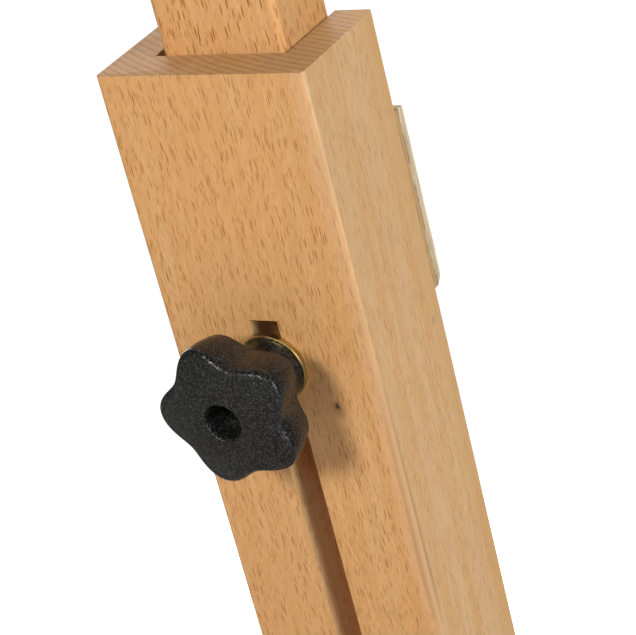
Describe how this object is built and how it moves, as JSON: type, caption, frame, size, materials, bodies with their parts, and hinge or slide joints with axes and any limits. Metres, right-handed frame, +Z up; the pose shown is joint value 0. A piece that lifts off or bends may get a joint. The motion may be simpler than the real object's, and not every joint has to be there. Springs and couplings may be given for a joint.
{
  "type": "tabletop easel",
  "caption": "Tabletop artist's easel: a reclining slotted wooden mast with a telescoping inner mast, sliding canvas ledge and top clamp, star knobs and a slotted rail base.",
  "frame": {"origin": "on the tabletop, under the middle of the base's footprint", "axes": "+Z up, canvas side towards -Y, +X to the right when looking from the canvas side"},
  "size_m": [0.38, 0.435, 0.7247],
  "materials": {
    "beech": "clear oiled beech, warm tan with short dark flecks",
    "beech_inner": "clear oiled beech, slightly more orange",
    "plywood": "sanded birch plywood with visible plies",
    "black_plastic": "fine grained black moulding",
    "yellow_zinc": "yellow passivated zinc on steel",
    "brass": "turned brass",
    "steel": "bright zinc",
    "rubber": "matt black rubber",
    "leather": "brown leather pad"
  },
  "bodies": {
    "base": {"rail_left": "beech", "rail_right": "beech", "foot_front": "beech", "foot_rear": "beech", "rubber_pads": "rubber", "pad_screws": "steel", "base_screws": "steel", "pivot_bolt": "steel", "pivot_washers": "steel", "pivot_nut": "steel", "pivot_spacers": "black_plastic"},
    "mast": {"mast_channel": "beech", "bridge_plate_upper": "plywood", "bridge_plate_lower": "plywood", "bridge_screws": "steel", "brace_bolts": "steel", "brace_bolt_washers": "steel", "brace_bolt_nuts": "steel"},
    "inner_mast": {"inner_mast": "beech_inner", "mast_bolt": "steel", "mast_washer": "yellow_zinc"},
    "mast_knob": {"mast_knob": "black_plastic", "mast_knob_insert": "brass"},
    "ledge": {"ledge_slider": "beech_inner", "ledge_backboard": "beech", "ledge_shelf": "beech", "ledge_lip": "beech", "ledge_screws": "steel", "lip_screws": "brass", "ledge_bolt": "steel", "ledge_washer": "yellow_zinc"},
    "ledge_knob": {"ledge_knob": "black_plastic", "ledge_knob_insert": "brass"},
    "clamp": {"clamp_front": "beech", "clamp_back": "beech", "clamp_cheek_left": "beech", "clamp_cheek_right": "beech", "clamp_hook": "beech", "clamp_screws": "steel", "hook_screws": "steel", "clamp_insert": "brass", "clamp_pad": "leather"},
    "clamp_knob": {"clamp_knob": "black_plastic", "clamp_stud": "steel"},
    "braces": {"brace_left": "beech", "brace_right": "beech", "brace_spreader": "beech_inner", "brace_rod": "steel", "rod_washers": "yellow_zinc"},
    "rod_knob_left": {"rod_knob_left": "black_plastic", "rod_insert_left": "brass"},
    "rod_knob_right": {"rod_knob_right": "black_plastic", "rod_insert_right": "brass"}
  },
  "joints": [
    {"name": "mast_tilt", "type": "hinge", "parent": "base", "child": "mast", "pos_m": [0, -0.1575, 0.048], "axis": [1, 0, 0], "range_deg": [-38, 16]},
    {"name": "brace_swing", "type": "hinge", "parent": "mast", "child": "braces", "pos_m": [0, -0.07421, 0.21877], "axis": [1, 0, 0], "range_deg": [-32, 76]},
    {"name": "mast_extend", "type": "slide", "parent": "mast", "child": "inner_mast", "axis": [0, 0.4384, 0.8988], "range_m": [-0.149, 0.008]},
    {"name": "ledge_slide", "type": "slide", "parent": "mast", "child": "ledge", "axis": [0, 0.4384, 0.8988], "range_m": [-0.03, 0.03]},
    {"name": "clamp_slide", "type": "slide", "parent": "inner_mast", "child": "clamp", "axis": [0, 0.4384, 0.8988], "range_m": [-0.07, 0]},
    {"name": "mast_knob_turn", "type": "hinge", "parent": "inner_mast", "child": "mast_knob", "pos_m": [0, 0.01758, 0.36704], "axis": [0, 0.8988, -0.4384], "range_deg": [0, 360]},
    {"name": "ledge_knob_turn", "type": "hinge", "parent": "ledge", "child": "ledge_knob", "pos_m": [0, -0.09574, 0.1347], "axis": [0, 0.8988, -0.4384], "range_deg": [0, 360]},
    {"name": "clamp_knob_turn", "type": "hinge", "parent": "clamp", "child": "clamp_knob", "pos_m": [-0.00085, 0.1607, 0.6605], "axis": [0, 0.8988, -0.4384], "range_deg": [0, 360]},
    {"name": "rod_knob_left_turn", "type": "hinge", "parent": "braces", "child": "rod_knob_left", "pos_m": [0, 0.00908, 0.048], "axis": [-1, 0, 0], "range_deg": [0, 360]},
    {"name": "rod_knob_right_turn", "type": "hinge", "parent": "braces", "child": "rod_knob_right", "pos_m": [0, 0.00908, 0.048], "axis": [1, 0, 0], "range_deg": [0, 360]}
  ],
  "couplings": [
    {"joint": "brace_swing", "follows": "mast_tilt", "ratio": -2}
  ]
}
